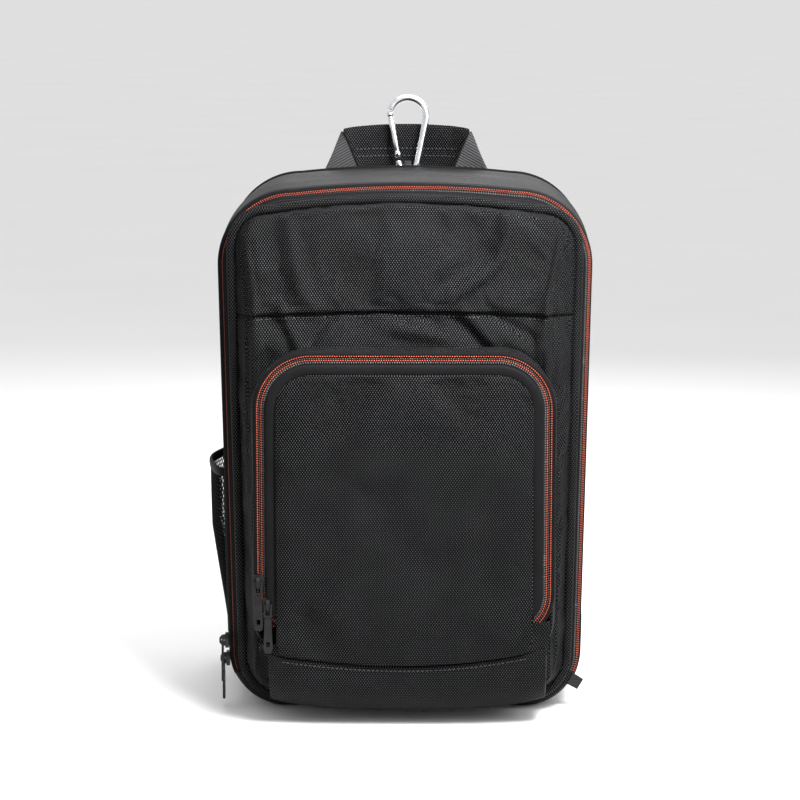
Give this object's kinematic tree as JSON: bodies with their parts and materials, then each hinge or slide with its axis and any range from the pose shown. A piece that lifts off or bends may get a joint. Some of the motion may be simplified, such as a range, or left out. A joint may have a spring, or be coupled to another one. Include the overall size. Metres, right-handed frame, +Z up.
{
  "type": "launch monitor backpack",
  "caption": "Small padded upright backpack for carrying a golf launch monitor, with a clamshell front, a zipped front pocket, a net side pocket, a haul handle and a carabiner.",
  "frame": {"origin": "on the ground under the middle of the flat base", "axes": "+Z up, -Y out of the front pocket, +X to the right of someone facing the front"},
  "size_m": [0.2582, 0.2303, 0.4055],
  "materials": {
    "ballistic_nylon": "coarse basket weave, low sheen",
    "plain_polyester": "fine plain weave, soft sheen",
    "zip_tape": "black tape with orange rows of stitching",
    "foam_lining": "brushed lining over closed-cell foam",
    "stiffener_board": "sheet polyethylene",
    "net": "open knitted net",
    "webbing": "ribbed polypropylene webbing",
    "moulded_plastic": "satin moulded",
    "black_metal": "glossy black plate",
    "aluminium": "polished"
  },
  "bodies": {
    "root": {"back_panel": "ballistic_nylon", "base_gusset": "ballistic_nylon", "shoulder_strap_left": "ballistic_nylon", "shoulder_strap_right": "ballistic_nylon", "strap_corner_tab_left": "ballistic_nylon", "strap_corner_tab_right": "ballistic_nylon", "handle_anchor_patch": "ballistic_nylon", "upper_gusset": "plain_polyester", "mesh_pocket_binding": "plain_polyester", "main_zip_body_half": "zip_tape", "back_foam": "foam_lining", "top_foam": "foam_lining", "bottom_foam": "foam_lining", "left_foam": "foam_lining", "right_foam": "foam_lining", "back_stiffener_board": "stiffener_board", "side_mesh_pocket": "net", "back_pad_left": "net", "back_pad_right": "net", "lumbar_pad": "net", "main_zip_end_tab": "webbing", "carabiner_loop": "webbing", "strap_webbing_left": "webbing", "strap_webbing_right": "webbing", "strap_ladder_lock_left": "moulded_plastic", "strap_ladder_lock_right": "moulded_plastic"},
    "handle": {"handle_webbing_left": "webbing", "handle_webbing_right": "webbing", "handle_grip": "ballistic_nylon"},
    "carabiner": {"carabiner_body": "aluminium"},
    "carabiner_gate": {"carabiner_gate": "aluminium"},
    "main_door": {"door_foam": "foam_lining", "door_panel": "ballistic_nylon", "door_piping": "ballistic_nylon", "main_zip_door_half": "zip_tape", "main_zip_flap": "plain_polyester", "upper_front_panel": "ballistic_nylon", "lower_front_panel": "ballistic_nylon", "pocket_gusset": "ballistic_nylon", "pocket_base_band": "ballistic_nylon", "pocket_zip_body_half": "zip_tape"},
    "pocket_door": {"pocket_face": "ballistic_nylon", "pocket_zip_flap": "plain_polyester", "pocket_zip_face_half": "zip_tape", "pocket_zip_garage": "plain_polyester"},
    "main_slider_upper": {"main_slider_upper": "black_metal"},
    "main_pull_upper": {"main_pull_link_upper": "black_metal", "main_pull_tab_upper": "moulded_plastic"},
    "main_slider_lower": {"main_slider_lower": "black_metal"},
    "main_pull_lower": {"main_pull_link_lower": "black_metal", "main_pull_tab_lower": "moulded_plastic"},
    "pocket_slider_upper": {"pocket_slider_upper": "black_metal"},
    "pocket_pull_upper": {"pocket_pull_link_upper": "black_metal", "pocket_pull_tab_upper": "moulded_plastic"},
    "pocket_slider_lower": {"pocket_slider_lower": "black_metal"},
    "pocket_pull_lower": {"pocket_pull_link_lower": "black_metal", "pocket_pull_tab_lower": "moulded_plastic"}
  },
  "joints": [
    {"name": "main_door_hinge", "type": "hinge", "parent": "root", "child": "main_door", "pos_m": [0, -0.07215, 0.0012], "axis": [1, 0, 0], "range_deg": [0, 85]},
    {"name": "pocket_door_hinge", "type": "hinge", "parent": "main_door", "child": "pocket_door", "pos_m": [0, -0.131, 0.0455], "axis": [1, 0, 0], "range_deg": [0, 65]},
    {"name": "main_slider_upper_slide", "type": "slide", "parent": "main_door", "child": "main_slider_upper", "axis": [-0.0209, 0, 0.9998], "range_m": [0, 0.235]},
    {"name": "main_slider_lower_slide", "type": "slide", "parent": "main_door", "child": "main_slider_lower", "axis": [-0.0209, 0, 0.9998], "range_m": [0, 0.004]},
    {"name": "pocket_slider_upper_slide", "type": "slide", "parent": "pocket_door", "child": "pocket_slider_upper", "axis": [0, 0, 1], "range_m": [0, 0.105]},
    {"name": "pocket_slider_lower_slide", "type": "slide", "parent": "pocket_door", "child": "pocket_slider_lower", "axis": [0, 0, 1], "range_m": [-0.02, 0]},
    {"name": "main_pull_upper_swing", "type": "hinge", "parent": "main_slider_upper", "child": "main_pull_upper", "pos_m": [-0.12289, -0.0762, 0.047], "axis": [0, 1, 0], "range_deg": [0, 110]},
    {"name": "main_pull_lower_swing", "type": "hinge", "parent": "main_slider_lower", "child": "main_pull_lower", "pos_m": [-0.1227, -0.0696, 0.033], "axis": [0, 1, 0], "range_deg": [0, 110]},
    {"name": "pocket_pull_upper_swing", "type": "hinge", "parent": "pocket_slider_upper", "child": "pocket_pull_upper", "pos_m": [-0.0952, -0.1315, 0.099], "axis": [-1, 0, 0], "range_deg": [0, 110]},
    {"name": "pocket_pull_lower_swing", "type": "hinge", "parent": "pocket_slider_lower", "child": "pocket_pull_lower", "pos_m": [-0.089, -0.1315, 0.084], "axis": [-1, 0, 0], "range_deg": [0, 110]},
    {"name": "handle_fold", "type": "hinge", "parent": "root", "child": "handle", "pos_m": [0, 0.0775, 0.352], "axis": [-1, 0, 0], "range_deg": [0, 45], "stiffness_Nm_per_rad": 0.05},
    {"name": "carabiner_swing", "type": "hinge", "parent": "root", "child": "carabiner", "pos_m": [0.001, 0.0839, 0.3522], "axis": [1, 0, 0], "range_deg": [0, 26]},
    {"name": "carabiner_gate_swing", "type": "hinge", "parent": "carabiner", "child": "carabiner_gate", "pos_m": [-0.0119, 0.08921, 0.39255], "axis": [0, -0.9914, 0.1305], "range_deg": [0, 16], "stiffness_Nm_per_rad": 0.02, "springref_deg": -28.65}
  ]
}
